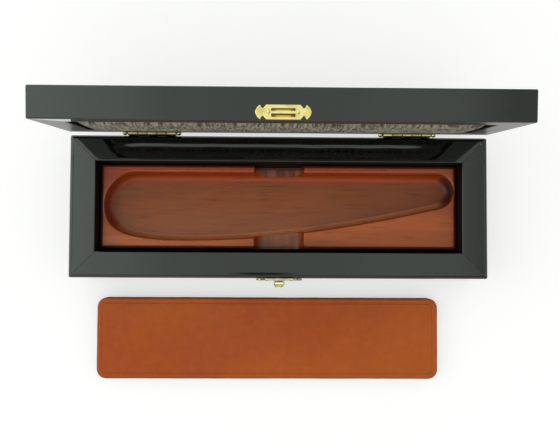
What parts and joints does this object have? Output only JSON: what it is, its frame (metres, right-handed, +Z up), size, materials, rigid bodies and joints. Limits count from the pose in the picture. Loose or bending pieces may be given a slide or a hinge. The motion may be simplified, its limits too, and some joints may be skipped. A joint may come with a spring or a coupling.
{
  "type": "razor travel case",
  "caption": "Black lacquered wooden case with hinged padded lid, hook latch and a lift-out wooden tray recessed for a closed straight razor, with a leather strop lying in front.",
  "frame": {"origin": "centre of the base's underside, where the case stands", "axes": "+X along the case, +Y towards the hinges, +Z up"},
  "size_m": [0.188, 0.1253, 0.0964],
  "materials": {
    "black_lacquer": "black lacquer over wood, polished to a high gloss",
    "mahogany": "red-brown mahogany stain under satin varnish",
    "polished_brass": "bright pressed brass",
    "lining_cloth": "grey-brown brushed cloth over padding",
    "tan_leather": "smooth tan leather with a creased border and dark burnished edge",
    "stained_wood": "thin stained wooden core"
  },
  "bodies": {
    "base": {"base_front_board": "black_lacquer", "base_back_board": "black_lacquer", "base_left_board": "black_lacquer", "base_right_board": "black_lacquer", "base_bottom_panel": "black_lacquer", "hinge_left_base_leaf": "polished_brass", "hinge_left_pin": "polished_brass", "hinge_left_base_screw_1": "polished_brass", "hinge_left_base_screw_2": "polished_brass", "hinge_right_base_leaf": "polished_brass", "hinge_right_pin": "polished_brass", "hinge_right_base_screw_1": "polished_brass", "hinge_right_base_screw_2": "polished_brass", "latch_plate": "polished_brass", "latch_pin": "polished_brass", "latch_nail_1": "polished_brass", "latch_nail_2": "polished_brass"},
    "lid": {"lid_front_board": "black_lacquer", "lid_back_board": "black_lacquer", "lid_left_board": "black_lacquer", "lid_right_board": "black_lacquer", "lid_top_panel": "black_lacquer", "lid_lining": "lining_cloth", "hinge_left_lid_leaf": "polished_brass", "hinge_left_lid_screw_1": "polished_brass", "hinge_left_lid_screw_2": "polished_brass", "hinge_right_lid_leaf": "polished_brass", "hinge_right_lid_screw_1": "polished_brass", "hinge_right_lid_screw_2": "polished_brass", "keeper_plate": "polished_brass", "keeper_nail_1": "polished_brass", "keeper_nail_2": "polished_brass"},
    "hook": {"latch_hook": "polished_brass"},
    "tray": {"tray_insert": "mahogany"},
    "strop": {"strop_face_leather": "tan_leather", "strop_board": "stained_wood", "strop_back_leather": "tan_leather"}
  },
  "joints": [
    {"name": "lid_hinge", "type": "hinge", "parent": "base", "child": "lid", "pos_m": [0, 0.03295, 0.03015], "axis": [1, 0, 0], "range_deg": [0, 85]},
    {"name": "hook_pivot", "type": "hinge", "parent": "base", "child": "hook", "pos_m": [0, -0.0342, 0.02695], "axis": [-1, 0, 0], "range_deg": [0, 180]},
    {"name": "tray_lift", "type": "slide", "parent": "base", "child": "tray", "axis": [0, 0, 1], "range_m": [0, 0.045]},
    {"name": "strop_lift", "type": "slide", "parent": "base", "child": "strop", "axis": [0, 0, 1], "range_m": [0, 0.04]}
  ]
}
